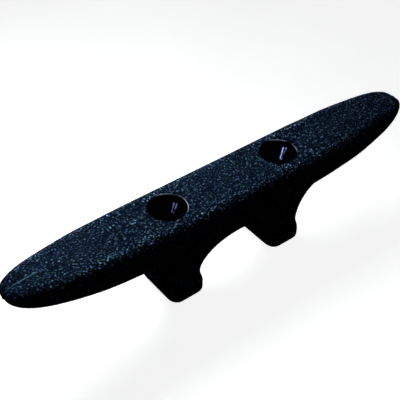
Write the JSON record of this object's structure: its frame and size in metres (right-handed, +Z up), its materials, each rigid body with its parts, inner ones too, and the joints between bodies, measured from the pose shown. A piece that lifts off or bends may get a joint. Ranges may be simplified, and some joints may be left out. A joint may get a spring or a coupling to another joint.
{
  "type": "horn cleat",
  "caption": "Open-base horn cleat moulded in black nylon: two blunt horns on an arched bridge with splayed feet, held down by countersunk screws through the legs.",
  "frame": {"origin": "centre of the base, midway between the two screw holes", "axes": "+Z up from the deck, +X along the horns, +Y across them"},
  "size_m": [0.152, 0.0224, 0.0326],
  "materials": {
    "black_nylon": "black injection-moulded nylon with a fine spark-eroded grain outside; the walls of the screw holes are smooth and glossy"
  },
  "bodies": {
    "root": {"cleat_body": "black_nylon"}
  },
  "joints": []
}
